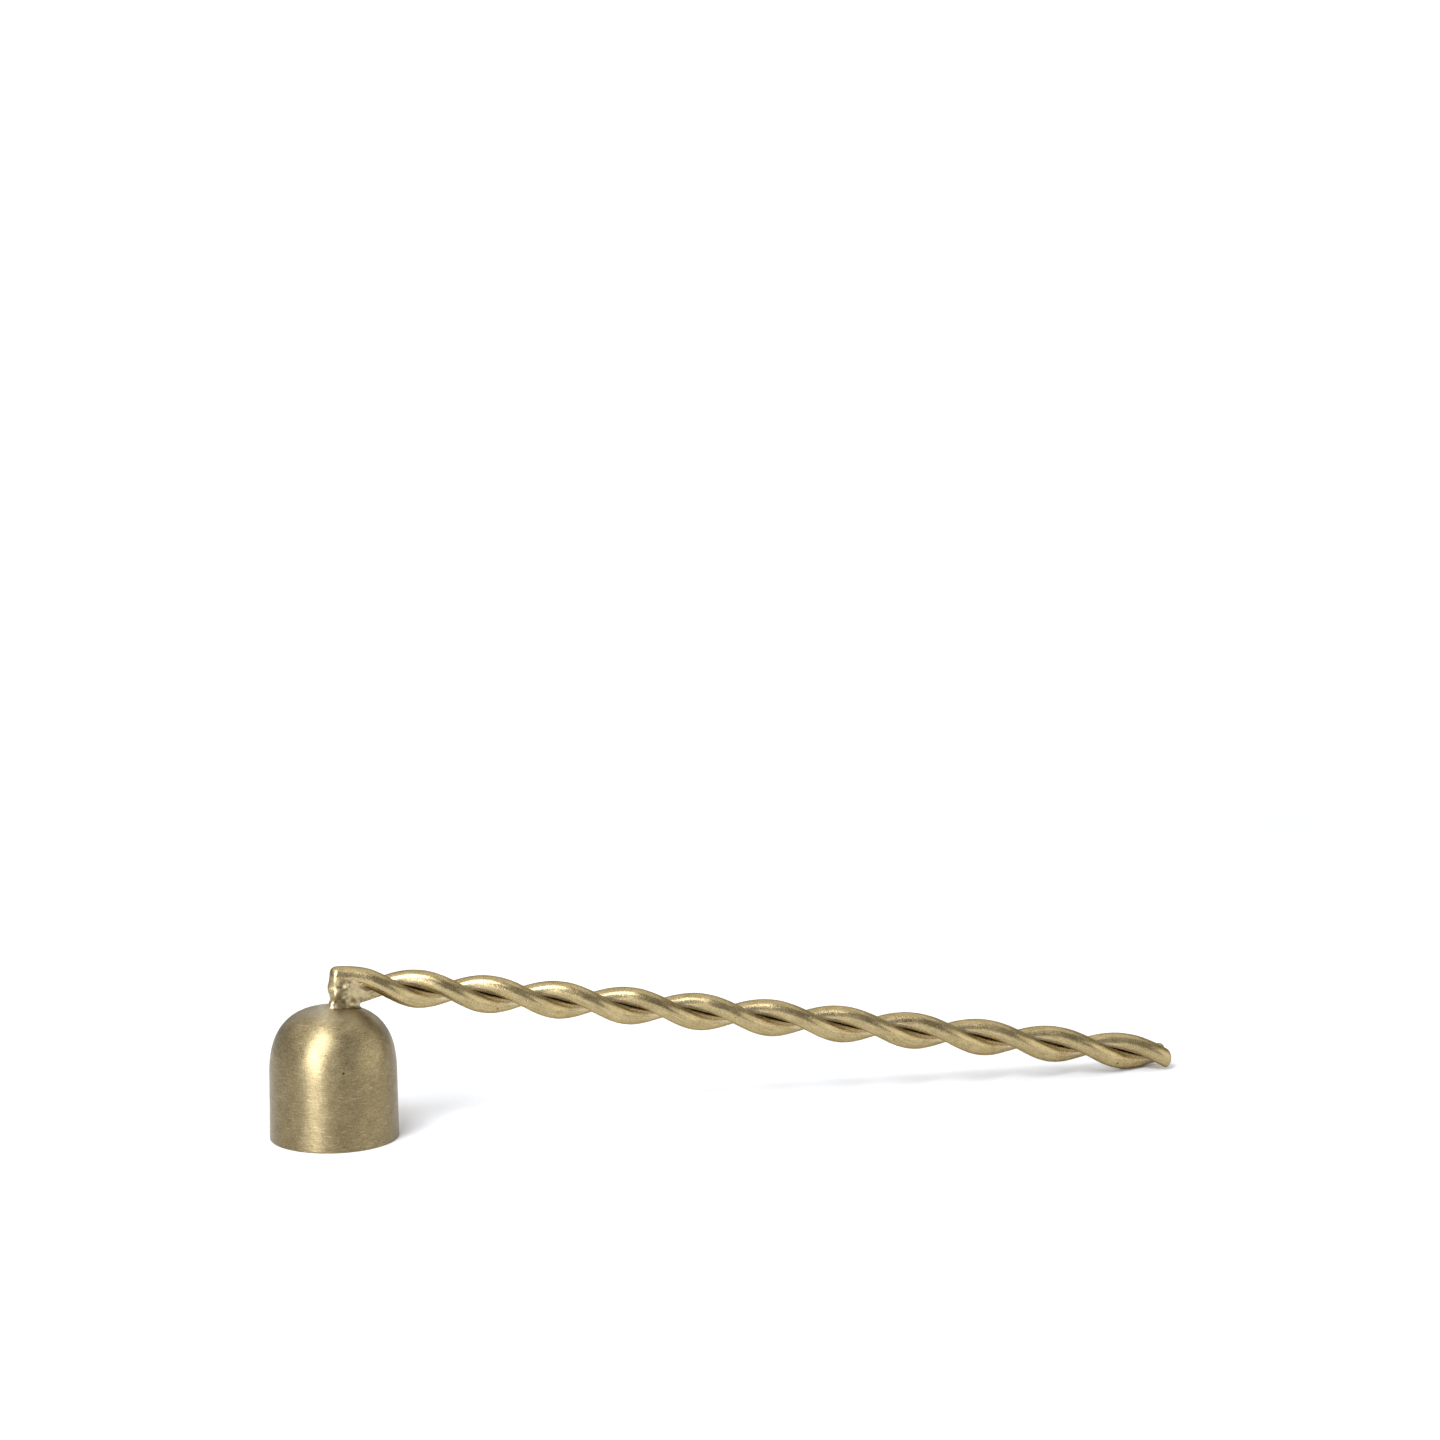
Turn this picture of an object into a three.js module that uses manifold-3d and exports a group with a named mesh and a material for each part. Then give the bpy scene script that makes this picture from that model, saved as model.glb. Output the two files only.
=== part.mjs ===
// Candle snuffer: a spun brass bell, with a handle of two brass rods twisted round each other
// and brazed flat onto the bell's crown. It is one rigid assembly with no moving joint.
//
// Millimetres, +Z up. The bell's rim and the last low bulge of the handle both rest on z = 0, and
// the handle runs towards +X and slopes down. The origin is the bottom centre of the whole object.
import * as THREE from "three";
import { mergeVertices } from "three/addons/utils/BufferGeometryUtils.js";
import Module from "manifold-3d";

const wasm = await Module();
wasm.setup();

// The bell.
const bellRadius = 13.25; // outside, where the wall meets the dome
const rimRadius = 13.43; // the wall flares a little towards the rim
const wallHeight = 12.7; // from the rim up to the dome
const domeHeight = 14.9;
const domeFullness = 2.63; // exponent of the dome's superellipse: 2 would be an ellipse
const bellThickness = 1.2;
const rimChamfer = 0.15;

// The handle.
const gap = 0.3; // left between pieces that touch on the real object
const rodRadius = 1.95;
const handleLength = 192.5;
const handleSlope = THREE.MathUtils.degToRad(9.04);
const crownClearance = 1.15; // from the crown up to the lower rod
const handleBow = 0.6; // upward bow at mid-length
const seatDip = 0.3; // the brazed end is bent down this far
const seatDipLength = 12;
const twistStart = 1; // the rods run side by side up to here,
const twistSettled = 8; // and the twist has its full rate from here on
const turns = [6.438, -0.946, 0.297]; // turns against length, as t, t^2 and t^3: the pitch opens out

// The braze between the lower rod and the crown.
const brazeLength = 7.2; // along the handle
const brazeHalfWidth = 2.9;
const brazeFoot = 1.9; // how far its fillet spreads over the crown

const bellHeight = wallHeight + domeHeight;
const twistRadius = rodRadius + gap / 2; // from the handle's axis to each rod's axis
const axisHeight = bellHeight + crownClearance + rodRadius + twistRadius;

function brass(color, roughness) {
  return new THREE.MeshStandardMaterial({ color, roughness, metalness: 1 });
}

function namedMesh(name, geometry, material) {
  const mesh = new THREE.Mesh(geometry, material);
  mesh.name = name;
  return mesh;
}

// A solid of revolution about the Z axis, from an outline of (radius, height) that runs upwards.
function turnedGeometry(outline, sides) {
  const geometry = new THREE.LatheGeometry(outline, sides);
  geometry.rotateX(Math.PI / 2);
  return geometry;
}

// Points of a dome from the crown down to the wall, for a wall this far inside the outer surface.
function domeOutline(inset, steps) {
  const points = [];
  for (let i = 0; i <= steps; i += 1) {
    const angle = ((1 - i / steps) * Math.PI) / 2;
    const across = i === 0 ? 0 : Math.cos(angle) ** (2 / domeFullness);
    const up = i === steps ? 0 : Math.sin(angle) ** (2 / domeFullness);
    const radius = (bellRadius - inset) * across;
    points.push(new THREE.Vector2(radius, wallHeight + (domeHeight - inset) * up));
  }
  return points;
}

// A thin cup: down the outside, across the rim and up the inside.
function bellGeometry() {
  const rim = [
    new THREE.Vector2(rimRadius, rimChamfer),
    new THREE.Vector2(rimRadius - rimChamfer, 0),
    new THREE.Vector2(rimRadius - bellThickness + rimChamfer, 0),
    new THREE.Vector2(rimRadius - bellThickness, rimChamfer),
  ];
  const inside = domeOutline(bellThickness, 12).reverse();
  const outline = [...domeOutline(0, 14), ...rim, ...inside];
  return turnedGeometry(outline.reverse(), 48);
}

// The length of fully twisted rod that has been passed at this distance along the handle.
function twistedLength(distance) {
  const ramp = twistSettled - twistStart;
  const passed = THREE.MathUtils.clamp(distance - twistStart, 0, ramp);
  return passed ** 2 / (2 * ramp) + Math.max(distance - twistSettled, 0);
}

// The centre line of one rod, in the handle's own frame: +X along the handle, +Z up.
// The two rods form a right-handed helix, and they lie one above the other at the bell.
class RodAxis extends THREE.Curve {
  constructor(phase, from, to) {
    super();
    this.phase = phase;
    this.from = from;
    this.to = to;
    this.arcLengthDivisions = 800;
  }

  getPoint(fraction, target = new THREE.Vector3()) {
    const x = THREE.MathUtils.lerp(this.from, this.to, fraction);
    const t = twistedLength(x) / twistedLength(handleLength);
    const turned = turns[0] * t + turns[1] * t ** 2 + turns[2] * t ** 3;
    const angle = this.phase - 2 * Math.PI * turned;
    const along = x / handleLength;
    const bow = 4 * handleBow * along * (1 - along);
    const dip = seatDip * Math.max(1 - x / seatDipLength, 0) ** 2;
    return target.set(x, twistRadius * Math.sin(angle), twistRadius * Math.cos(angle) + bow - dip);
  }
}

function sweptRod(phase, radius, from, to, steps) {
  const section = new THREE.Shape().absarc(0, 0, radius, 0, 2 * Math.PI);
  return new THREE.ExtrudeGeometry(section, {
    steps,
    curveSegments: 6, // per half circle
    extrudePath: new RodAxis(phase, from, to),
  });
}

function toSolid(geometry) {
  const bare = geometry.clone();
  bare.deleteAttribute("normal");
  bare.deleteAttribute("uv");
  const merged = mergeVertices(bare, 1e-4);
  const mesh = new wasm.Mesh({
    numProp: 3,
    vertProperties: new Float32Array(merged.attributes.position.array),
    triVerts: new Uint32Array(merged.index.array),
  });
  return new wasm.Manifold(mesh);
}

function toGeometry(solid) {
  const mesh = solid.getMesh();
  const geometry = new THREE.BufferGeometry();
  geometry.setAttribute("position", new THREE.BufferAttribute(mesh.vertProperties, 3));
  geometry.setIndex(new THREE.BufferAttribute(mesh.triVerts, 1));
  geometry.computeVertexNormals();
  return geometry;
}

// The solid inside a dome that stands out from the bell's own by the gap.
function domeCutter() {
  const outline = domeOutline(-gap, 14);
  outline.push(new THREE.Vector2(0, wallHeight));
  return toSolid(turnedGeometry(outline.reverse(), 48));
}

// A waisted neck with a concave fillet at its foot, oval along the handle.
function neckSolid() {
  const halfLength = brazeLength / 2;
  const foot = bellHeight - 1.6;
  const top = axisHeight - rodRadius * 0.45;
  const waist = bellHeight + brazeFoot;
  const outline = [new THREE.Vector2(0, top), new THREE.Vector2(1, top)];
  for (let i = 0; i <= 8; i += 1) {
    const angle = (i / 8) * (Math.PI / 2);
    const out = (brazeFoot / halfLength) * (1 - Math.cos(angle));
    outline.push(new THREE.Vector2(1 + out, waist - (waist - foot) * Math.sin(angle)));
  }
  outline.push(new THREE.Vector2(0, foot));
  const neck = turnedGeometry(outline.reverse(), 40);
  neck.scale(halfLength, brazeHalfWidth, 1);
  neck.translate(halfLength, 0, 0);
  return toSolid(neck);
}

// The braze fills the space between the crown and the lower rod, and climbs the rod's two sides.
function brazeGeometry(handle) {
  let solid = neckSolid().subtract(domeCutter());
  for (const phase of [0, Math.PI]) {
    const around = sweptRod(phase, rodRadius + gap, -2, 16, 12);
    around.applyMatrix4(handle.matrixWorld);
    solid = solid.subtract(toSolid(around));
  }
  return toGeometry(solid);
}

// One rod, twisted over more than its length and then cut off square to the handle at both ends.
function rodGeometry(phase) {
  const spare = 2;
  const rod = sweptRod(phase, rodRadius, -spare, handleLength + spare, 98);
  const kept = new THREE.BoxGeometry(handleLength, 20, 20);
  kept.translate(handleLength / 2, 0, 0);
  return toGeometry(toSolid(rod).intersect(toSolid(kept)));
}

function buildHandle() {
  const handle = new THREE.Group();
  handle.position.z = axisHeight;
  handle.rotation.y = handleSlope;
  handle.add(namedMesh("handle_rod_upper", rodGeometry(0), brass(0xb39f6c, 0.42)));
  handle.add(namedMesh("handle_rod_lower", rodGeometry(Math.PI), brass(0xb39f6c, 0.42)));
  handle.updateMatrixWorld(true);
  return handle;
}

// Moves the object so that the origin is at the centre of its box, on the surface it stands on.
function centreOnBox(group) {
  group.updateMatrixWorld(true);
  const box = new THREE.Box3().setFromObject(group, true);
  const centre = box.getCenter(new THREE.Vector3());
  group.position.set(-centre.x, -centre.y, 0);
}

const snuffer = new THREE.Group();
const handle = buildHandle();
snuffer.add(namedMesh("snuffer_bell", bellGeometry(), brass(0x9a8a63, 0.38)));
snuffer.add(namedMesh("crown_braze", brazeGeometry(handle), brass(0xa8996f, 0.5)));
snuffer.add(handle);
centreOnBox(snuffer);

export default snuffer;
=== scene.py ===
"""Looks of the candle snuffer: a spun brass bell, two twisted brass rods and the braze between them."""

import math

import bpy
import numpy as np
from mathutils import Matrix, Vector


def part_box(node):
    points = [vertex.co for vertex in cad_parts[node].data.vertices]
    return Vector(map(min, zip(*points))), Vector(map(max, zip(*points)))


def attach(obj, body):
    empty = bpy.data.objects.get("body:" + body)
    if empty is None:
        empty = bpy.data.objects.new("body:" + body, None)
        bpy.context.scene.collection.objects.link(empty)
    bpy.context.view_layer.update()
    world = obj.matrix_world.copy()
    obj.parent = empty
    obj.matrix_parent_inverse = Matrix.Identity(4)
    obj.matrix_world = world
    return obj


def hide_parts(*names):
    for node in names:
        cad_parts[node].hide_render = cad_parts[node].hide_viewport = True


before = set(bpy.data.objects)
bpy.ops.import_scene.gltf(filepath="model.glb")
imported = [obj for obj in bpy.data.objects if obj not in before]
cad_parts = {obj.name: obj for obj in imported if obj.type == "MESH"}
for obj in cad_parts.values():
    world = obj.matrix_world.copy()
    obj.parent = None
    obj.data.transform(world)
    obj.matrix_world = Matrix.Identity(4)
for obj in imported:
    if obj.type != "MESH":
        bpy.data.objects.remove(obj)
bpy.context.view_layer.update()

MM = 0.001

# The bell. Its place, rim and height come from the frame's own bell.
bell_low, bell_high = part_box("snuffer_bell")
BELL_X = (bell_low.x + bell_high.x) / 2
RIM_RADIUS = (bell_high.x - bell_low.x) / 2
BELL_HEIGHT = bell_high.z
RIM_FLARE = 0.18 * MM
BELL_RADIUS = RIM_RADIUS - RIM_FLARE  # where the flared wall meets the dome
WALL_HEIGHT = 12.7 * MM
DOME_HEIGHT = BELL_HEIGHT - WALL_HEIGHT
DOME_FULLNESS = 2.63
BELL_THICKNESS = 1.2 * MM
RIM_ROUNDING = 0.16 * MM
BELL_SIDES = 320
OUT_OF_ROUND = 0.015 * MM  # spinning leaves the wall very slightly uneven

# The handle: two rods that touch each other along a right-handed twist. Its own frame has +X along
# it, from the brazed end, and +Z up.
ROD_RADIUS = 2.0 * MM
TWIST_RADIUS = 1.99 * MM  # from the handle's axis to each rod's: the rods just press together
HANDLE_LENGTH = 192.5 * MM
HANDLE_SLOPE = math.radians(9.04)
AXIS_HEIGHT = BELL_HEIGHT + 5.2 * MM
HANDLE_BOW = 0.6 * MM  # upward bow at mid-length
SEAT_DIP = 0.7 * MM  # the brazed end is bent down this far
SEAT_DIP_LENGTH = 10 * MM
TWIST_START = 1 * MM
TWIST_SETTLED = 8 * MM
TURNS = (6.438, -0.946, 0.297)  # turns against length, as t, t^2 and t^3: the pitch opens out
UPPER_PHASE = 0.0
LOWER_PHASE = math.pi
NEAR_EDGE = 1.35 * MM  # rounding of the sawn ends
FAR_EDGE = 1.25 * MM
NEAR_DOMING = 0.05 * MM  # and how far their faces stand out
FAR_DOMING = 0.25 * MM
FAR_SPARE = 0.1 * MM  # the far end's crown, past the handle's length
END_LEAN = math.radians(7.8)  # the near ends are cut upright, not square to the sloping handle
END_LEAN_LENGTH = 7 * MM  # the lean has faded from the rods' rings by here
ROD_SIDES = 48
ROD_RINGS = 640
FLATS = 0.012 * MM  # hand finishing leaves flats about this deep along the rods,
END_FLATS = 0.04 * MM  # and deeper ones where the ends are filed by eye

# The braze fills the groove between the rods, has a foot on the crown, and wets the rods with a film.
# Each of these is whole up to its first distance and has faded away by its second.
FILL_ALONG = (4 * MM, 11 * MM)  # along the handle
FILL_UP = (0.2 * MM, 2.6 * MM)  # above the handle's axis
FOOT_ALONG = (6 * MM, 10 * MM)
FILM_ALONG = (7 * MM, 11 * MM)
FILM_UP = (0.5 * MM, 1.6 * MM)  # out from the lower rod
FILL_WIDTH = 3.4 * MM  # size of the fillet between the rods,
FOOT_WIDTH = 2.2 * MM  # of the one between the rods and the crown,
LUMPINESS = 0.6 * MM  # and how far both of them vary
LEAST_WIDTH = 0.05 * MM
FILM_THICKNESS = 0.12 * MM
FILM_LUMPINESS = 0.05 * MM
BRAZE_DEPTH = 0.7 * MM  # how far it reaches into the rods and the bell
BRAZE_TOP = 2.4 * MM  # above the handle's axis
SPREAD_CENTRE = 4.2 * MM  # middle of the oval that it covers on the crown, past the bell's axis
SPREAD_WIDTH = 4.4 * MM
SPREAD_STRETCH = 1.68
GRID_PITCH = 0.13 * MM  # cell size of the grid that its surface is found on, and the grid's corners
GRID_LOW = (BELL_X - 3.7 * MM, -4.8 * MM, BELL_HEIGHT - 2.8 * MM)
GRID_HIGH = (BELL_X + 12.1 * MM, 4.8 * MM, AXIS_HEIGHT + 2.9 * MM)

# Base colours, as linear red, green and blue.
SHADED_BRASS = (0.195, 0.149, 0.0735, 1)
SATIN_BRASS = (0.415, 0.333, 0.18, 1)
# Painted shade: a dark brass that the lower wall is tinted towards, against the bright floor that it
# reflects.
WALL_PAINTED_SHADE = (0.1, 0.075, 0.036, 1)
SCRATCHED_BRASS = (0.56, 0.47, 0.29, 1)
# Pale grey: the colour of a real smear of braze, and also of painted light on the crown round the foot.
PALE_SMEAR_AND_PAINTED_LIGHT = (0.56, 0.5, 0.38, 1)
TARNISHED_ROD = (0.26, 0.195, 0.093, 1)
CLEAN_ROD = (0.54, 0.432, 0.228, 1)
# Painted light: a pale brass that the rods are tinted towards beside the groove, against the crevice's
# shade.
PAINTED_LIGHT_ROD = (0.8, 0.71, 0.53, 1)
# Painted shade in the crevice where the rods touch, with some patina: near black.
GROOVE_SHADE_AND_PATINA = (0.045, 0.03, 0.014, 1)
THIN_BRAZE_DARK = (0.29, 0.22, 0.105, 1)
THIN_BRAZE_LIGHT = (0.54, 0.432, 0.226, 1)
THICK_BRAZE_DARK = (0.4, 0.325, 0.18, 1)
THICK_BRAZE_LIGHT = (0.56, 0.47, 0.29, 1)
# Dark brown: burnt flux, and also painted shade along the braze's foot.
FLUX_AND_PAINTED_SHADE = (0.125, 0.092, 0.045, 1)
BELL_PIT = (0.03, 0.02, 0.01, 1)
ROD_PIT = (0.06, 0.04, 0.02, 1)
BRAZE_PIT = (0.05, 0.035, 0.02, 1)
PAPER = (0.85, 0.85, 0.85, 1)
PALE_PAPER = (0.87, 0.87, 0.87, 1)
GRAZING_TINT = (0.55, 0.475, 0.345, 1)  # the rods stay dark and warm at grazing angles

# Two pinholes in the bell's wall: bearing in degrees, height, size.
PINHOLES = ((-91.5, 16.6 * MM, 0.3 * MM), (-88.5, 18.55 * MM, 0.16 * MM))

GRAIN = 3600  # texture scales are in cells per metre: the finest grain,
BELL_CLOUD = 420  # patches of tarnish on the bell
ROD_CLOUD = 230  # and on the rods
SCRATCH_SHAPE = (600, 600, 4600)  # long in two directions and narrow in the third


def handle_to_world():
    """The matrix from the handle's own frame to the object's."""
    return Matrix.Translation((BELL_X, 0, AXIS_HEIGHT)) @ Matrix.Rotation(HANDLE_SLOPE, 4, "Y")


def new_object(name, vertices, faces, smooth=True):
    """A mesh object from an array of points and a list of faces, linked to the scene."""
    mesh = bpy.data.meshes.new(name)
    mesh.from_pydata([tuple(v) for v in np.asarray(vertices, float)], [], faces)
    mesh.validate()
    mesh.update()
    mesh.polygons.foreach_set("use_smooth", [smooth] * len(mesh.polygons))
    piece = bpy.data.objects.new(name, mesh)
    bpy.context.scene.collection.objects.link(piece)
    return piece


def ring_faces(rings, sides):
    """Quads between rings of points, for rings that run along a closed tube."""
    faces = []
    for i in range(rings - 1):
        for j in range(sides):
            k = (j + 1) % sides
            faces.append((i * sides + j, i * sides + k, (i + 1) * sides + k, (i + 1) * sides + j))
    return faces


def add_attribute(piece, name, values):
    """Stores one number or one vector for each vertex, for the materials to read."""
    values = np.asarray(values, np.float32)
    kind, field = ("FLOAT", "value") if values.ndim == 1 else ("FLOAT_VECTOR", "vector")
    attribute = piece.data.attributes.new(name, kind, "POINT")
    attribute.data.foreach_set(field, values.ravel())


def smoothstep(low, high, x):
    """0 at low and 1 at high, with a soft start and end. Low may be the larger of the two."""
    t = np.clip((x - low) / (high - low), 0, 1)
    return t * t * (3 - 2 * t)


def fade_out(distances, x):
    """1 up to the first of two distances, and 0 past the second."""
    whole, gone = distances
    return smoothstep(gone, whole, x)


def unit_vectors(vectors):
    return vectors / np.maximum(np.linalg.norm(vectors, axis=-1, keepdims=True), 1e-9)


def unevenness(points, size, seed, waves=14):
    """Smooth random numbers of about -1 to 1 at each point, with features of about this size."""
    draw = np.random.default_rng(seed)
    total = np.zeros(len(points))
    for _ in range(waves):
        direction = draw.normal(size=3)
        direction *= np.pi * draw.uniform(0.6, 1.8) / (size * np.linalg.norm(direction))
        total += np.sin(points @ direction + draw.uniform(0, 2 * np.pi))
    return total / math.sqrt(waves)


# ---------------------------------------------------------------- the bell


def dome_arc(inset, steps):
    """(radius, height) from the wall up to the crown, this far inside the outer surface."""
    arc = []
    for i in range(steps + 1):
        angle = (i / steps) * math.pi / 2
        across = max(math.cos(angle), 0) ** (2 / DOME_FULLNESS)
        up = math.sin(angle) ** (2 / DOME_FULLNESS)
        arc.append(((BELL_RADIUS - inset) * across, WALL_HEIGHT + (DOME_HEIGHT - inset) * up))
    return even_spacing(arc, steps)


def even_spacing(points, steps):
    """The same outline with evenly spaced points."""
    points = np.array(points)
    lengths = np.hypot(*np.diff(points, axis=0).T)
    run = np.concatenate([[0], np.cumsum(lengths)])
    at = np.linspace(0, run[-1], steps + 1)
    return [(np.interp(s, run, points[:, 0]), np.interp(s, run, points[:, 1])) for s in at]


def rim_arc(steps=5):
    """The rim from the inside of the wall to the outside, with both edges rounded."""
    inner_centre = RIM_RADIUS - BELL_THICKNESS + RIM_ROUNDING
    outer_centre = RIM_RADIUS - RIM_ROUNDING
    arc = []
    for centre, start in ((inner_centre, 180), (outer_centre, 270)):
        for i in range(steps + 1):
            angle = math.radians(start + 90 * i / steps)
            across = centre + RIM_ROUNDING * math.cos(angle)
            arc.append((across, RIM_ROUNDING + RIM_ROUNDING * math.sin(angle)))
    return arc


def straight(start, end, steps):
    """Points strictly between two outline points."""
    return [tuple(np.add(start, np.subtract(end, start) * i / steps)) for i in range(1, steps)]


def bell_outline():
    """From the crown down the inside, round the rim and up the outside, without the two poles."""
    inside = dome_arc(BELL_THICKNESS, 60)[::-1]
    outside = dome_arc(0, 90)
    rim = rim_arc()
    outline = inside[1:] + straight(inside[-1], rim[0], 12) + rim
    return outline + straight(rim[-1], outside[0], 24) + outside[:-1]


def build_bell():
    """A turned cup of even thickness, closed at its two poles."""
    outline = bell_outline()
    points = []
    for radius, height in outline:
        for j in range(BELL_SIDES):
            angle = 2 * math.pi * j / BELL_SIDES
            points.append((radius * math.cos(angle), radius * math.sin(angle), height))
    points = np.array(points)
    radial = unit_vectors(points * (1, 1, 0))
    points += radial * (unevenness(points, 9 * MM, 1) * OUT_OF_ROUND)[:, None]
    faces = ring_faces(len(outline), BELL_SIDES)
    last = (len(outline) - 1) * BELL_SIDES
    poles = [(0, 0, BELL_HEIGHT - BELL_THICKNESS), (0, 0, BELL_HEIGHT)]
    points = np.vstack([points, poles])
    inner_pole, outer_pole = len(points) - 2, len(points) - 1
    for j in range(BELL_SIDES):
        k = (j + 1) % BELL_SIDES
        faces.append((inner_pole, k, j))
        faces.append((outer_pole, last + j, last + k))
    bell = new_object("bell_cup", points, faces)
    bell.location.x = BELL_X
    add_attribute(bell, "smear_and_painted_light", braze_smear_and_painted_light(points))
    return bell


def braze_smear_and_painted_light(points):
    """1 in a pool of braze on the crown, past the handle's end, and less on the crown all round the
    foot, where it is painted light.
    """
    x, y, z = points.T
    uneven = unevenness(points, 1.1 * MM, 5) * 0.22 * MM
    from_pool = np.hypot(x + 1.9 * MM, (y - 0.4 * MM) * 0.42) + uneven
    from_foot = np.hypot((x - 2.5 * MM) / 1.25, y) + 2 * uneven
    pool = smoothstep(1.6 * MM, 0.8 * MM, from_pool)
    # Painted light: the crown round the braze's foot is lightened where the handle's shade and
    # reflection darken it.
    painted_light_round_foot = smoothstep(10 * MM, 3.5 * MM, from_foot)
    return np.maximum(pool, 0.5 * painted_light_round_foot) * (z > WALL_HEIGHT)


# ---------------------------------------------------------------- the rods


def twisted_length(x):
    """The length of fully twisted rod passed at x, which grows slowly at first, by the bell."""
    ramp = TWIST_SETTLED - TWIST_START
    passed = np.clip(x - TWIST_START, 0, ramp)
    return passed**2 / (2 * ramp) + np.maximum(x - TWIST_SETTLED, 0)


def rod_axis(x, phase):
    """Points on a rod's centre line in the handle's frame."""
    x = np.asarray(x, float)
    t = twisted_length(x) / twisted_length(HANDLE_LENGTH)
    angle = phase - 2 * np.pi * (TURNS[0] * t + TURNS[1] * t**2 + TURNS[2] * t**3)
    along = x / HANDLE_LENGTH
    bow = 4 * HANDLE_BOW * along * (1 - along)
    dip = SEAT_DIP * np.maximum(1 - x / SEAT_DIP_LENGTH, 0) ** 2
    return np.stack([x, TWIST_RADIUS * np.sin(angle), TWIST_RADIUS * np.cos(angle) + bow - dip], -1)


def rod_section(x, radius, phase, turn):
    """Points of the rod's surface that lie at x along the handle, as a sawn end shows them.

    Each point belongs to its own place on the centre line, found by correcting it a few times."""
    place = np.zeros_like(turn) + x
    step = 0.01 * MM
    for _ in range(4):
        centre = rod_axis(place, phase)
        tangent = unit_vectors(rod_axis(place + step, phase) - rod_axis(place - step, phase))
        up = unit_vectors(np.array([0, 0, 1.0]) - tangent * tangent[:, 2:])
        side = np.cross(up, tangent)
        points = centre + radius * (np.cos(turn)[:, None] * up + np.sin(turn)[:, None] * side)
        place = place + (x - points[:, 0])
    return points


def near_cut(z):
    """Where the cut at the near end lies along the handle, at this height across it."""
    return -math.tan(END_LEAN) * (z + TWIST_RADIUS)


def end_rings(edge, doming):
    """(distance from the end, share of the radius) from the end's centre out to the full rod."""
    flat = 1 - edge / ROD_RADIUS
    rings = [(-doming * (1 - r * r), r * flat) for r in (0.03, 0.25, 0.5, 0.75, 0.92)]
    for i in range(9):
        angle = (i / 8) * math.pi / 2
        share = 1 - (edge / ROD_RADIUS) * (1 - math.sin(angle))
        rings.append((edge * (1 - math.cos(angle)), share))
    return rings


def rod_stations():
    """(distance along the handle, share of the radius) for every ring of a rod."""
    near = end_rings(NEAR_EDGE, NEAR_DOMING)
    far = [(HANDLE_LENGTH + FAR_SPARE - x, r) for x, r in end_rings(FAR_EDGE, FAR_DOMING)][::-1]
    middle = np.linspace(near[-1][0], far[0][0], ROD_RINGS)[1:-1]
    return near + [(x, 1.0) for x in middle] + far


def finishing_marks(points, centres, along, around, phase):
    """The rod's points, moved out or in where hand finishing has left shallow flats."""
    outward = unit_vectors((points - centres) * (0, 1, 1))
    unrolled = np.stack([along, ROD_RADIUS * np.cos(around), ROD_RADIUS * np.sin(around) + phase], -1)
    by_an_end = smoothstep(5 * MM, 0, np.minimum(along, HANDLE_LENGTH - along))
    depth = unevenness(unrolled, 2.5 * MM, 2) * (FLATS + END_FLATS * by_an_end)
    return points + outward * depth[:, None]


def build_rod(name, phase):
    turn = np.linspace(0, 2 * np.pi, ROD_SIDES, endpoint=False)
    stations = rod_stations()
    rings = []
    for x, share in stations:
        height = TWIST_RADIUS * math.cos(phase) + ROD_RADIUS * share * np.cos(turn)
        start = x + near_cut(height) * smoothstep(END_LEAN_LENGTH, 0, x)
        rings.append(rod_section(start, ROD_RADIUS * share, phase, turn))
    along = np.repeat([x for x, _ in stations], ROD_SIDES)
    around = np.tile(turn, len(stations))
    centres = np.repeat([rod_axis(x, phase) for x, _ in stations], ROD_SIDES, axis=0)
    points = finishing_marks(np.vstack(rings), centres, along, around, phase)
    faces = [tuple(reversed(f)) for f in ring_faces(len(stations), ROD_SIDES)]
    first, last = len(points), (len(stations) - 1) * ROD_SIDES
    points = np.vstack([points, points[:ROD_SIDES].mean(0), points[last:].mean(0)])
    for j in range(ROD_SIDES):
        k = (j + 1) % ROD_SIDES
        faces.append((first, j, k))
        faces.append((first + 1, last + k, last + j))
    rod = new_object(name, points, faces)
    add_rod_attributes(rod, phase, points, along, around)
    rod.data.transform(handle_to_world())
    return rod


def add_rod_attributes(rod, phase, points, along, around):
    """Stores what the rod's material reads.

    The unrolled place lets the grain follow the twist. The groove is 1 where the rods touch, where the
    material paints shade with some patina, and the third is 1 on the metal beside it, where the
    material paints light against the crevice's shade."""
    along = np.append(along, [along[0], along[-1]])
    around = np.append(around, [0, 0])
    unrolled = np.stack([along, ROD_RADIUS * np.cos(around), ROD_RADIUS * np.sin(around)], -1) / MM
    add_attribute(rod, "unrolled", unrolled + (0, 0, 40 * phase))
    other = UPPER_PHASE if phase else LOWER_PHASE
    reach = distance_to_rod(points, other)
    add_attribute(rod, "groove", smoothstep(0.42 * MM, 0.12 * MM, reach))
    clear_of_braze = smoothstep(10 * MM, 16 * MM, along)
    # Painted light: the metal beside the groove is lightened, clear of the braze.
    painted_light_beside_groove = smoothstep(1.5 * MM, 0.3 * MM, reach)
    add_attribute(rod, "painted_light_beside_groove", painted_light_beside_groove * clear_of_braze)


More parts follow.
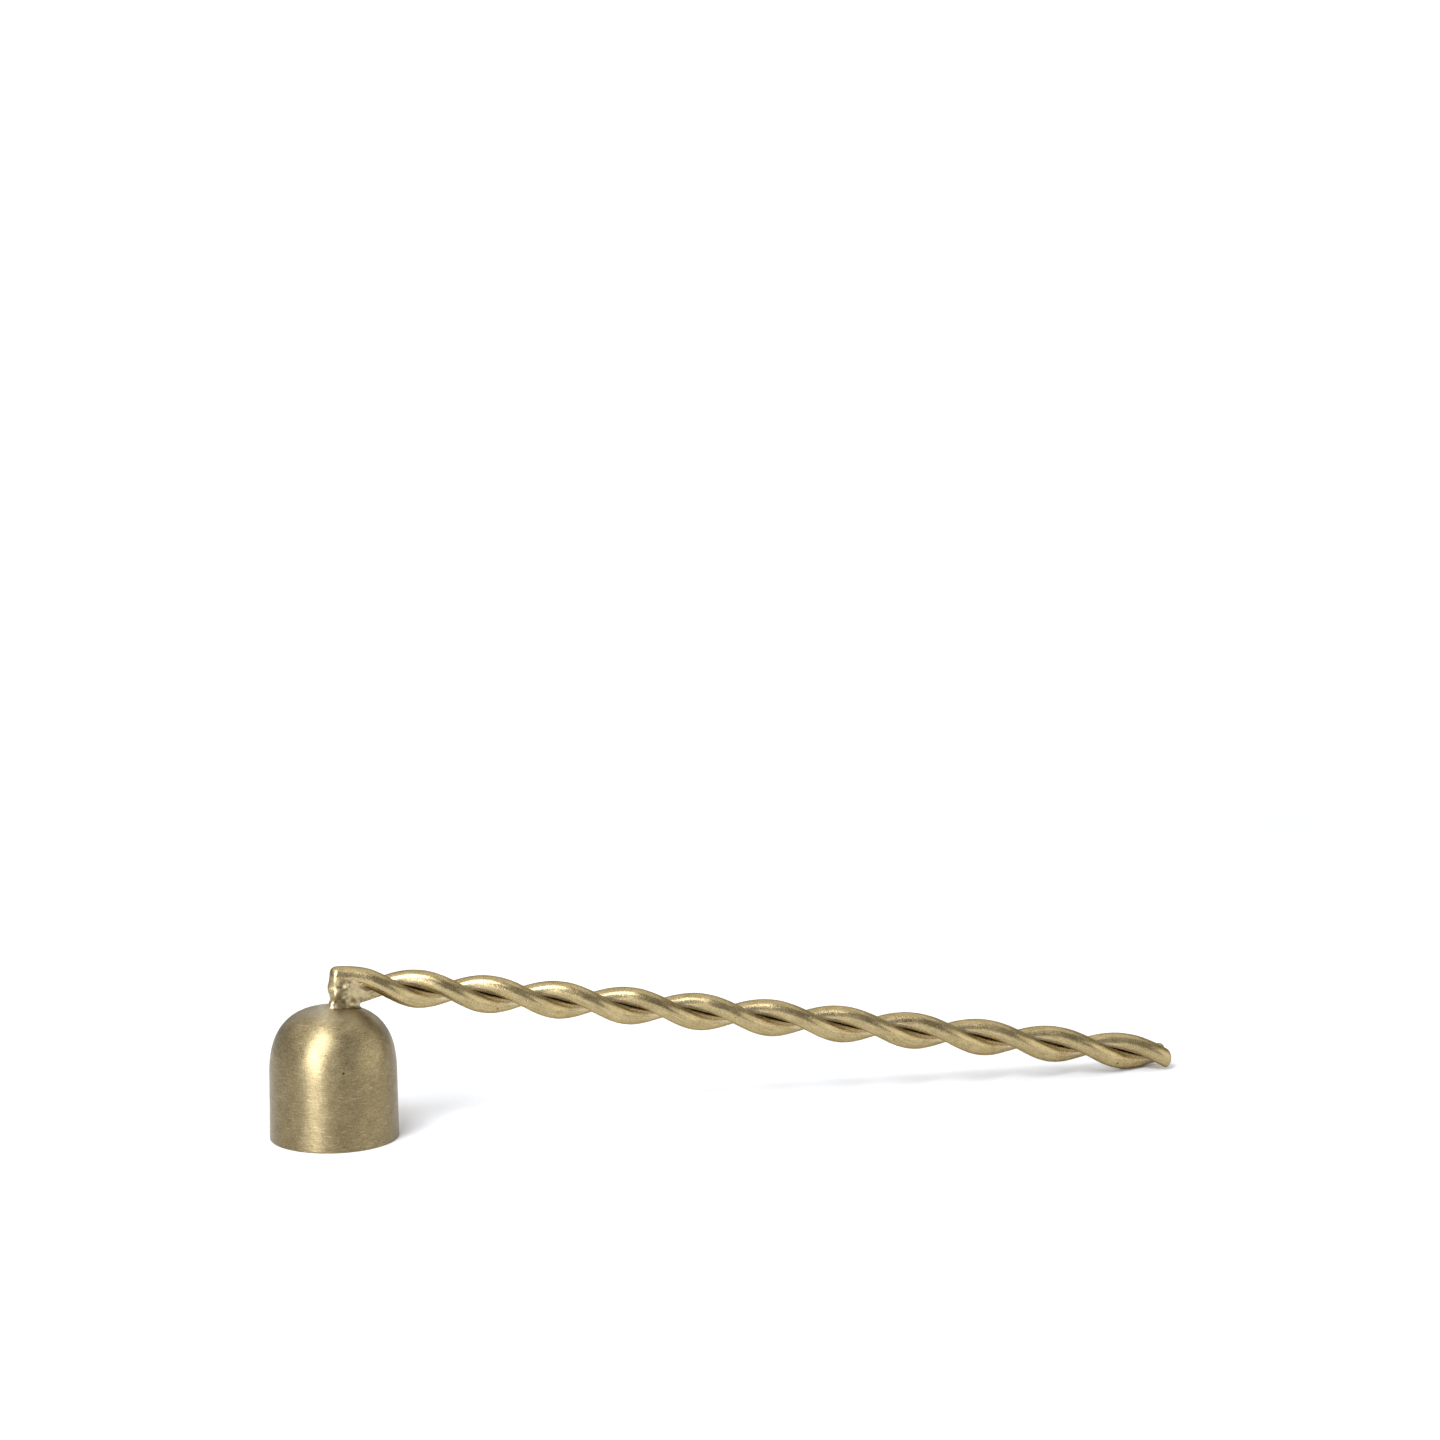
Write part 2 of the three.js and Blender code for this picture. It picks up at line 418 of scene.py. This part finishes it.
def distance_to_rod(points, phase):
    """Distance from points in the handle's frame to a rod's surface, negative inside it."""
    samples = np.linspace(-4 * MM, HANDLE_LENGTH + 4 * MM, 1400)
    line = rod_axis(samples, phase)
    step = samples[1] - samples[0]
    nearest = np.full(len(points), np.inf)
    index = np.clip(((points[:, 0] - samples[0]) / step).astype(int), 0, len(samples) - 1)
    for shift in range(-12, 13):
        at = np.clip(index + shift, 0, len(samples) - 1)
        nearest = np.minimum(nearest, np.linalg.norm(points - line[at], axis=1))
    return nearest - ROD_RADIUS


# ---------------------------------------------------------------- the braze


def distance_to_bell(points):
    """Distance from points in the bell's frame to its outer surface, negative inside it."""
    arc = np.array(dome_arc(0, 400))
    across = np.hypot(points[:, 0], points[:, 1])
    flat = np.stack([across, points[:, 2]], -1)
    nearest = np.full(len(points), np.inf)
    for start in range(0, len(arc), 40):
        block = arc[start : start + 40]
        gaps = np.linalg.norm(flat[:, None] - block[None], axis=2).min(1)
        nearest = np.minimum(nearest, gaps)
    share = (across / BELL_RADIUS) ** DOME_FULLNESS
    rise = np.maximum(points[:, 2] - WALL_HEIGHT, 0) / DOME_HEIGHT
    return np.where(share + rise**DOME_FULLNESS < 1, -nearest, nearest)


def blend_union(a, b, width):
    """The union of two solids given by their distances, with a fillet of about this width."""
    h = np.maximum(width - np.abs(a - b), 0) / width
    return np.minimum(a, b) - h * h * width / 4


def sawn_rod(local, phase):
    """Distance to a rod that stops at the near end of the handle, with its edge rounded."""
    side = distance_to_rod(local, phase) + NEAR_EDGE
    back = (near_cut(local[:, 2]) - local[:, 0]) * math.cos(END_LEAN) + NEAR_EDGE
    outside = np.hypot(np.maximum(side, 0), np.maximum(back, 0))
    return outside + np.minimum(np.maximum(side, back), 0) - NEAR_EDGE


def to_handle_frame(world):
    """The same points in the handle's own frame."""
    matrix = np.array(handle_to_world().inverted())
    return world @ matrix[:3, :3].T + matrix[:3, 3]


def braze_distance(world):
    """The braze: a fillet from the crown up round the lower rod, and a fill in the groove above it."""
    local = to_handle_frame(world)
    x, z = local[:, 0], local[:, 2]
    lower = sawn_rod(local, LOWER_PHASE)
    upper = sawn_rod(local, UPPER_PHASE)
    bell = distance_to_bell(world - (BELL_X, 0, 0))
    lumps = unevenness(world, 1.4 * MM, 3) * 0.6
    plain = np.minimum(upper, lower)
    width = (FILL_WIDTH + LUMPINESS * lumps) * fade_out(FILL_ALONG, x) + LEAST_WIDTH
    fill = blend_union(upper, lower, width) - plain
    rods = plain + fill * fade_out(FILL_UP, z)
    foot = (FOOT_WIDTH + LUMPINESS * lumps) * fade_out(FOOT_ALONG, x) + LEAST_WIDTH
    film = FILM_THICKNESS + FILM_LUMPINESS * lumps
    film = film * fade_out(FILM_ALONG, x) * fade_out(FILM_UP, lower)
    body = blend_union(rods, bell, foot) + LEAST_WIDTH - film
    deep = np.minimum(rods, bell) + BRAZE_DEPTH
    from_centre = np.hypot((world[:, 0] - BELL_X - SPREAD_CENTRE) / SPREAD_STRETCH, world[:, 1])
    return np.maximum.reduce([body, -deep, from_centre - SPREAD_WIDTH, z - BRAZE_TOP])


def add_braze_attributes(braze, points):
    """Stores how thick the braze is, 0 where it thins out to nothing, and where flux has burnt on or
    painted shade darkens the foot.
    """
    local = to_handle_frame(points)
    above_rods = np.minimum(distance_to_rod(local, UPPER_PHASE), distance_to_rod(local, LOWER_PHASE))
    above_bell = distance_to_bell(points - (BELL_X, 0, 0))
    add_attribute(braze, "thick", smoothstep(0.0, 0.12 * MM, np.minimum(above_rods, above_bell)))
    add_attribute(braze, "flux_stain_and_shade", flux_stains_and_painted_shade(local, above_bell, unevenness(points, 0.8 * MM, 4)))


def flux_stains_and_painted_shade(local, above_bell, lumps):
    """1 on the three dark patches: flux stains low at the near end and in the crease above, and painted
    shade along the foot where the braze meets the crown.
    """
    x, z = local[:, 0], local[:, 2]
    ragged = x + lumps * 0.5 * MM
    low_end = fade_out((1.9 * MM, 3.6 * MM), ragged) * fade_out((-0.5 * MM, 0.2 * MM), z)
    low_end = low_end * smoothstep(0.5 * MM, 0.9 * MM, x)
    # Painted shade: the braze is darkened along its foot, in the corner where it meets the crown.
    foot = fade_out((0.3 * MM, 0.9 * MM), above_bell) * smoothstep(0.5 * MM, 2.0 * MM, x)
    crease = fade_out((2.9 * MM, 4.9 * MM), ragged) * smoothstep(0.7 * MM, 1.3 * MM, x)
    crease = crease * smoothstep(-0.8 * MM, 0, z) * fade_out((1.2 * MM, 2.0 * MM), z)
    return np.maximum.reduce([low_end, foot, 0.75 * crease])


def surface_net(values, origin, pitch):
    """A closed mesh of the places where a grid of distances changes sign."""
    inside = values < 0
    shape = np.array(values.shape)
    corners = [(i, j, k) for i in (0, 1) for j in (0, 1) for k in (0, 1)]
    cells = tuple(shape - 1)
    total = np.zeros(cells + (3,))
    count = np.zeros(cells)
    for a in range(8):
        for axis in range(3):
            if corners[a][axis]:
                continue
            b = list(corners[a])
            b[axis] = 1
            va = values[tuple(slice(c, c + n) for c, n in zip(corners[a], cells))]
            vb = values[tuple(slice(c, c + n) for c, n in zip(b, cells))]
            crossing = (va < 0) != (vb < 0)
            share = np.where(crossing, va / np.where(crossing, va - vb, 1), 0)
            point = np.zeros(cells + (3,)) + corners[a]
            point[..., axis] += share
            total += np.where(crossing[..., None], point, 0)
            count += crossing
    used = count > 0
    index = np.full(cells, -1)
    index[used] = np.arange(used.sum())
    base = np.argwhere(used)
    points = origin + (base + total[used] / count[used][:, None]) * pitch
    return points, net_faces(inside, index)


def net_faces(inside, index):
    """One quad for each grid edge that crosses the surface."""
    faces = []
    for axis in range(3):
        first = [slice(None)] * 3
        second = [slice(None)] * 3
        first[axis] = slice(0, -1)
        second[axis] = slice(1, None)
        leaving = inside[tuple(first)] & ~inside[tuple(second)]
        entering = ~inside[tuple(first)] & inside[tuple(second)]
        b, c = [(1, 2), (2, 0), (0, 1)][axis]
        for crossing, forward in ((leaving, True), (entering, False)):
            for at in np.argwhere(crossing):
                quad = []
                for db, dc in ((0, 0), (-1, 0), (-1, -1), (0, -1)):
                    cell = at.copy()
                    cell[b] += db
                    cell[c] += dc
                    quad.append(int(index[tuple(cell)]))
                faces.append(tuple(quad) if forward else tuple(reversed(quad)))
    return faces


def build_braze():
    axes = [np.arange(a, b, GRID_PITCH) for a, b in zip(GRID_LOW, GRID_HIGH)]
    grid = np.stack(np.meshgrid(*axes, indexing="ij"), -1)
    values = braze_distance(grid.reshape(-1, 3)).reshape(grid.shape[:3])
    points, faces = largest_part(*surface_net(values, np.array(GRID_LOW), GRID_PITCH))
    braze = new_object("braze_fillet", points, faces)
    add_braze_attributes(braze, points)
    return braze


def largest_part(points, faces):
    """The points and faces of the largest closed part, without any loose crumbs."""
    faces = np.array(faces)
    label = np.arange(len(points))
    settled = False
    while not settled:
        lowest = label[faces].min(axis=1)
        spread = label.copy()
        np.minimum.at(spread, faces, lowest[:, None])
        spread = spread[spread]
        settled = np.array_equal(spread, label)
        label = spread
    kept = label == np.bincount(label).argmax()
    renumber = np.cumsum(kept) - 1
    kept_faces = renumber[faces[kept[faces[:, 0]]]]
    return points[kept], [tuple(face) for face in kept_faces.tolist()]


# ---------------------------------------------------------------- materials


class Nodes:
    """A short way to write one material's node tree."""

    def __init__(self, name):
        self.material = bpy.data.materials.new(name)
        self.material.use_nodes = True
        self.tree = self.material.node_tree
        self.shader = self.tree.nodes["Principled BSDF"]

    def add(self, kind, **settings):
        node = self.tree.nodes.new(kind)
        for key, value in settings.items():
            setattr(node, key, value)
        return node

    def join(self, source, target):
        self.tree.links.new(source, target)

    def put(self, socket, value):
        """Links a socket to another one, or sets it to a number."""
        if isinstance(value, bpy.types.NodeSocket):
            self.join(value, socket)
        else:
            socket.default_value = value

    def math(self, operation, a, b=0.0, clamp=False):
        node = self.add("ShaderNodeMath", operation=operation, use_clamp=clamp)
        self.put(node.inputs[0], a)
        self.put(node.inputs[1], b)
        return node.outputs[0]

    def span(self, value, low, high, to_low=0.0, to_high=1.0):
        """Maps low..high to to_low..to_high, and holds it there outside."""
        node = self.add("ShaderNodeMapRange")
        self.put(node.inputs["Value"], value)
        self.put(node.inputs["From Min"], low)
        self.put(node.inputs["From Max"], high)
        self.put(node.inputs["To Min"], to_low)
        self.put(node.inputs["To Max"], to_high)
        return node.outputs[0]

    def mapped(self, vector, scale, rotation=(0, 0, 0)):
        node = self.add("ShaderNodeMapping")
        self.join(vector, node.inputs["Vector"])
        node.inputs["Scale"].default_value = scale
        node.inputs["Rotation"].default_value = rotation
        return node.outputs[0]

    def noise(self, vector, scale, detail=3.0, roughness=0.55):
        node = self.add("ShaderNodeTexNoise")
        self.join(vector, node.inputs["Vector"])
        node.inputs["Scale"].default_value = scale
        node.inputs["Detail"].default_value = detail
        node.inputs["Roughness"].default_value = roughness
        return node.outputs[0]

    def pits(self, vector, scale, size, share):
        """1 inside small round pits, in this share of the cells of the given scale."""
        node = self.add("ShaderNodeTexVoronoi")
        self.join(vector, node.inputs["Vector"])
        node.inputs["Scale"].default_value = scale
        near = self.span(node.outputs["Distance"], size, size * 0.35)
        chosen = self.math("LESS_THAN", self.channel(node.outputs["Color"], 0), share)
        return self.math("MULTIPLY", near, chosen)

    def channel(self, colour, index):
        node = self.add("ShaderNodeSeparateColor")
        self.join(colour, node.inputs[0])
        return node.outputs[index]

    def mix(self, amount, a, b):
        node = self.add("ShaderNodeMix", data_type="RGBA")
        self.put(node.inputs[0], amount)
        self.put(node.inputs[6], a)
        self.put(node.inputs[7], b)
        return node.outputs[2]

    def attribute(self, name):
        return self.add("ShaderNodeAttribute", attribute_name=name)

    def parts(self, vector):
        """The X, Y and Z of a vector."""
        node = self.add("ShaderNodeSeparateXYZ")
        self.join(vector, node.inputs[0])
        return node.outputs

    def blend(self, *weighted):
        """The sum of several values, each given with its weight."""
        total = 0.0
        for value, weight in weighted:
            total = self.math("ADD", total, self.math("MULTIPLY", value, weight))
        return total

    def bump(self, height, distance):
        node = self.add("ShaderNodeBump")
        node.inputs["Strength"].default_value = 1.0
        node.inputs["Distance"].default_value = distance
        self.join(height, node.inputs["Height"])
        return node.outputs[0]


def round_the_bell(n, place):
    """A vector that draws a texture out round the bell: slow round it, quick along its outline."""
    x, y, z = n.parts(place)
    radius = n.math("SQRT", n.math("ADD", n.math("MULTIPLY", x, x), n.math("MULTIPLY", y, y)))
    safe = n.math("MAXIMUM", radius, 0.0004)
    outline = n.math("SUBTRACT", z, radius)
    round_it = n.add("ShaderNodeCombineXYZ")
    n.join(n.math("DIVIDE", x, safe), round_it.inputs[0])
    n.join(n.math("DIVIDE", y, safe), round_it.inputs[1])
    n.join(n.math("MULTIPLY", outline, 1 / BELL_RADIUS), round_it.inputs[2])
    return round_it.outputs[0]


def pinhole(n, place, bearing, height, size):
    """1 inside one small pit in the bell's outer surface."""
    turn = math.radians(bearing)
    rise = (height - WALL_HEIGHT) / DOME_HEIGHT
    radius = BELL_RADIUS * (1 - rise**DOME_FULLNESS) ** (1 / DOME_FULLNESS)
    centre = (radius * math.cos(turn), radius * math.sin(turn), height)
    gap = n.add("ShaderNodeVectorMath", operation="DISTANCE")
    n.join(place, gap.inputs[0])
    gap.inputs[1].default_value = centre
    return n.span(gap.outputs["Value"], size, size * 0.6)


def bell_material():
    """Satin spun brass: brush lines round the wall, crossing scratches, grain, pits and tarnish, with
    painted shade on the lower wall and a smear of braze on the crown that is partly painted light.
    """
    n = Nodes("satin_spun_brass")
    place = n.add("ShaderNodeTexCoord").outputs["Object"]
    height = n.parts(place)[2]
    round_it = round_the_bell(n, place)
    fine_lines = n.noise(n.mapped(round_it, (8.0, 8.0, 62)), 1.0, 3.0, 0.7)
    broad_lines = n.noise(n.mapped(round_it, (1.2, 1.2, 24)), 1.0, 3.0, 0.6)
    grain = n.noise(place, GRAIN, 2.0, 0.7)
    cloud = n.noise(place, BELL_CLOUD, 3.0, 0.6)
    falling = n.noise(n.mapped(place, SCRATCH_SHAPE, (0.5, 0.75, 0.3)), 1.0, 2.0, 0.5)
    rising = n.noise(n.mapped(place, SCRATCH_SHAPE, (-0.45, -0.7, 0.2)), 1.0, 2.0, 0.5)
    scratches = n.math("MAXIMUM", n.span(falling, 0.6, 0.74), n.span(rising, 0.62, 0.76))
    pits = n.pits(place, 420, 0.15, 0.02)
    for bearing, rise, size in PINHOLES:
        pits = n.math("MAXIMUM", pits, pinhole(n, place, bearing, rise, size))
    on_wall = n.span(height, 20 * MM, 8 * MM, 0.35, 1.0)
    lines = n.math("MULTIPLY", n.math("SUBTRACT", fine_lines, 0.5), on_wall)
    tone = n.blend((lines, 0.15), (grain, 0.46), (cloud, 0.18), (falling, 0.12), (rising, -0.12))
    metal = n.mix(n.span(tone, 0.22, 0.42), SHADED_BRASS, SATIN_BRASS)
    # Painted shade: the wall is darkened towards its foot, a third of the way to the dark brass at 14
    # mm and below.
    metal = n.mix(n.span(height, 21 * MM, 14 * MM, 0.0, 0.33), metal, WALL_PAINTED_SHADE)
    metal = n.mix(n.math("MULTIPLY", scratches, 0.35), metal, SCRATCHED_BRASS)
    metal = n.mix(n.math("MULTIPLY", pits, 0.9), metal, BELL_PIT)
    # A real pool of braze, and painted light on the crown round the foot.
    smear_and_painted_light = n.math("MULTIPLY", n.attribute("smear_and_painted_light").outputs["Fac"], n.span(cloud, 0.3, 0.6, 0.55, 1.0))
    n.join(n.mix(smear_and_painted_light, metal, PALE_SMEAR_AND_PAINTED_LIGHT), n.shader.inputs["Base Color"])
    n.shader.inputs["Metallic"].default_value = 1.0
    n.shader.inputs["Anisotropic"].default_value = 0.6
    n.shader.inputs["Anisotropic Rotation"].default_value = 0.25
    by_lines = n.span(broad_lines, 0.3, 0.7, 0.38, 0.46)
    by_grain = n.span(grain, 0.3, 0.7, -0.03, 0.05)
    n.join(n.math("ADD", by_lines, by_grain), n.shader.inputs["Roughness"])
    tangent = n.add("ShaderNodeTangent", direction_type="RADIAL", axis="Z")
    n.join(tangent.outputs[0], n.shader.inputs["Tangent"])
    relief = n.blend((lines, 0.18), (grain, 0.7), (falling, 0.14), (rising, 0.14), (pits, -5.0))
    n.join(n.bump(relief, 0.04 * MM), n.shader.inputs["Normal"])
    return n.material


def rod_material():
    """Satin drawn brass rod: grain that follows the twist, painted shade with some patina in the
    groove, and painted light beside it.
    """
    n = Nodes("satin_drawn_brass")
    unrolled = n.attribute("unrolled").outputs["Vector"]
    groove = n.attribute("groove").outputs["Fac"]
    painted_light_beside_groove = n.attribute("painted_light_beside_groove").outputs["Fac"]
    place = n.add("ShaderNodeTexCoord").outputs["Object"]
    drawn = n.noise(n.mapped(unrolled, (0.4, 3.0, 3.0)), 1.0, 3.0, 0.65)
    hatch = n.noise(n.mapped(unrolled, (3.2, 1.1, 1.1)), 1.0, 3.0, 0.65)
    grain = n.noise(place, GRAIN, 2.0, 0.7)
    tarnish = n.noise(place, ROD_CLOUD, 4.0, 0.62)
    pits = n.pits(place, 520, 0.18, 0.07)
    tone = n.blend((hatch, 0.12), (grain, 0.36), (drawn, 0.34), (tarnish, 0.18))
    metal = n.mix(n.span(tone, 0.38, 0.62), TARNISHED_ROD, CLEAN_ROD)
    # Painted light beside the groove.
    metal = n.mix(n.math("MULTIPLY", painted_light_beside_groove, 0.6), metal, PAINTED_LIGHT_ROD)
    # Painted shade with some patina, where the rods touch.
    metal = n.mix(n.span(groove, 0.1, 0.9, 0, 0.94), metal, GROOVE_SHADE_AND_PATINA)
    metal = n.mix(n.math("MULTIPLY", pits, 0.7), metal, ROD_PIT)
    n.join(metal, n.shader.inputs["Base Color"])
    n.shader.inputs["Metallic"].default_value = 1.0
    by_tarnish = n.span(tarnish, 0.3, 0.7, 0.23, 0.31)
    by_grain = n.span(grain, 0.3, 0.7, -0.03, 0.06)
    rough = n.blend((by_tarnish, 1.0), (by_grain, 1.0), (groove, 0.15))
    n.join(rough, n.shader.inputs["Roughness"])
    n.shader.inputs["Specular Tint"].default_value = GRAZING_TINT
    relief = n.blend((hatch, 0.12), (grain, 0.55), (drawn, 0.8), (pits, -4.0))
    n.join(n.bump(relief, 0.04 * MM), n.shader.inputs["Normal"])
    return n.material


def braze_material():
    """Braze metal: paler and duller than the brass, lumpy, with pits, dark flux stains and painted
    shade along its foot.
    """
    n = Nodes("braze_metal")
    place = n.add("ShaderNodeTexCoord").outputs["Object"]
    thick = n.attribute("thick").outputs["Fac"]
    flux_stain_and_shade = n.attribute("flux_stain_and_shade").outputs["Fac"]
    lumps = n.noise(place, 900, 4.0, 0.6)
    grain = n.noise(place, GRAIN, 2.0, 0.6)
    stain = n.noise(place, 760, 5.0, 0.65)
    pits = n.pits(place, 1100, 0.26, 0.22)
    pale = n.mix(n.span(lumps, 0.35, 0.65), THICK_BRAZE_DARK, THICK_BRAZE_LIGHT)
    brass = n.mix(n.span(grain, 0.35, 0.65), THIN_BRAZE_DARK, THIN_BRAZE_LIGHT)
    metal = n.mix(n.span(thick, 0.0, 0.8), brass, pale)
    # Dark flux stains, with painted shade along the braze's foot.
    flux_and_shade = n.math("ADD", n.span(stain, 0.47, 0.76), n.span(flux_stain_and_shade, 0.0, 1.0, -0.3, 0.85), clamp=True)
    metal = n.mix(n.math("MULTIPLY", flux_and_shade, 0.85), metal, FLUX_AND_PAINTED_SHADE)
    metal = n.mix(n.math("MULTIPLY", pits, 0.8), metal, BRAZE_PIT)
    n.join(metal, n.shader.inputs["Base Color"])
    n.shader.inputs["Metallic"].default_value = 1.0
    n.join(n.span(lumps, 0.3, 0.7, 0.34, 0.48), n.shader.inputs["Roughness"])
    relief = n.blend((lumps, 2.4), (grain, 0.6), (pits, -1.6), (flux_and_shade, -0.6))
    n.join(n.bump(relief, 0.06 * MM), n.shader.inputs["Normal"])
    return n.material


def floor_material():
    """Matt white paper."""
    n = Nodes("white_paper")
    place = n.add("ShaderNodeTexCoord").outputs["Object"]
    fibres = n.span(n.noise(place, 900, 3.0), 0.3, 0.7, 0.0, 1.0)
    n.join(n.mix(fibres, PAPER, PALE_PAPER), n.shader.inputs["Base Color"])
    n.shader.inputs["Roughness"].default_value = 0.9
    n.shader.inputs["Specular IOR Level"].default_value = 0.1
    return n.material


# ---------------------------------------------------------------- the studio

CAMERA_PITCH = math.radians(8.4446)
CAMERA_TURN = math.radians(-17.62)
CAMERA_FROM_BELL = Vector((-121.2, -647.4, 184.8)) * MM
SENSOR_WIDTH = 36  # with the lens, in millimetres of a full-frame camera
LENS = 80.69
SURROUND = 0.32  # brightness of the room that the brass reflects
BACKDROP = 1.2  # and of the paper behind the object
FLOOR_HALF_WIDTH = 0.28
KEY_COLOUR = (0.96, 1.0, 1.1)


def add_camera():
    data = bpy.data.cameras.new("camera")
    data.sensor_width = SENSOR_WIDTH
    data.lens = LENS
    data.clip_start = 0.01
    data.clip_end = 60
    camera = bpy.data.objects.new("camera", data)
    camera.location = Vector((BELL_X, 0, 0)) + CAMERA_FROM_BELL
    camera.rotation_euler = (math.pi / 2 - CAMERA_PITCH, 0, CAMERA_TURN)
    bpy.context.scene.collection.objects.link(camera)
    bpy.context.scene.camera = camera


def add_softbox(name, bearing, elevation, distance, width, height, radiance, target, colour=(1, 1, 1)):
    """A rectangular light, placed by its bearing from the line to the camera and aimed at a point."""
    data = bpy.data.lights.new(name, "AREA")
    data.shape = "RECTANGLE"
    data.size = width
    data.size_y = height
    data.energy = radiance * math.pi * width * height
    data.color = colour
    light = bpy.data.objects.new(name, data)
    heading = math.radians(bearing) + CAMERA_TURN
    raised = math.radians(elevation)
    level = math.cos(raised)
    away = Vector((math.sin(heading) * level, -math.cos(heading) * level, math.sin(raised)))
    light.location = target + away * distance
    light.rotation_euler = (-away).to_track_quat("-Z", "Y").to_euler()
    bpy.context.scene.collection.objects.link(light)


def add_world():
    """A plain grey room, and plain white paper behind the object for the camera."""
    world = bpy.data.worlds.new("studio")
    world.use_nodes = True
    bpy.context.scene.world = world
    tree = world.node_tree
    surround = tree.nodes["Background"]
    surround.inputs[0].default_value = (1, 1, 1, 1)
    surround.inputs[1].default_value = SURROUND
    backdrop = tree.nodes.new("ShaderNodeBackground")
    backdrop.inputs[0].default_value = (1, 1, 1, 1)
    backdrop.inputs[1].default_value = BACKDROP
    rays = tree.nodes.new("ShaderNodeLightPath")
    mix = tree.nodes.new("ShaderNodeMixShader")
    tree.links.new(rays.outputs["Is Camera Ray"], mix.inputs[0])
    tree.links.new(surround.outputs[0], mix.inputs[1])
    tree.links.new(backdrop.outputs[0], mix.inputs[2])
    tree.links.new(mix.outputs[0], tree.nodes["World Output"].inputs[0])


def add_floor():
    """White paper that ends where it is still fully lit, so that its edge is lost on the backdrop."""
    half = FLOOR_HALF_WIDTH
    corners = [(-half, -half, 0), (half, -half, 0), (half, half, 0), (-half, half, 0)]
    floor = new_object("floor", corners, [(0, 1, 2, 3)], smooth=False)
    floor.data.materials.append(floor_material())


def add_lights():
    """Two key lights, low and high, from the left of the camera, and weak broad lights all round."""
    bell = Vector((BELL_X, 0, 12 * MM))
    middle = Vector((0, 0, 12 * MM))
    add_softbox("key_strip", -27.5, 15, 1.0, 0.35, 0.7, 14.5, bell, KEY_COLOUR)
    add_softbox("key_top", -20, 54, 1.0, 0.42, 0.42, 11.5, bell, KEY_COLOUR)
    add_softbox("overhead", -150, 78, 1.3, 2.2, 1.8, 0.85, middle)
    add_softbox("left", -90, 34, 1.4, 1.7, 1.0, 0.42, middle)
    add_softbox("right", 82, 14, 1.3, 1.5, 0.9, 1.35, middle)
    add_softbox("back", 180, 30, 1.6, 2.6, 1.0, 0.45, middle)


# ---------------------------------------------------------------- assembly


def finish_piece(piece, material, node):
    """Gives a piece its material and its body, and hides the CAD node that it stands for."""
    piece.data.materials.clear()
    piece.data.materials.append(material)
    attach(piece, "root")
    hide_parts(node)


rods = rod_material()
finish_piece(build_bell(), bell_material(), "snuffer_bell")
finish_piece(build_rod("rod_upper", UPPER_PHASE), rods, "handle_rod_upper")
finish_piece(build_rod("rod_lower", LOWER_PHASE), rods, "handle_rod_lower")
finish_piece(build_braze(), braze_material(), "crown_braze")
add_floor()
add_world()
add_lights()
add_camera()
bpy.context.scene.view_settings.view_transform = "Standard"
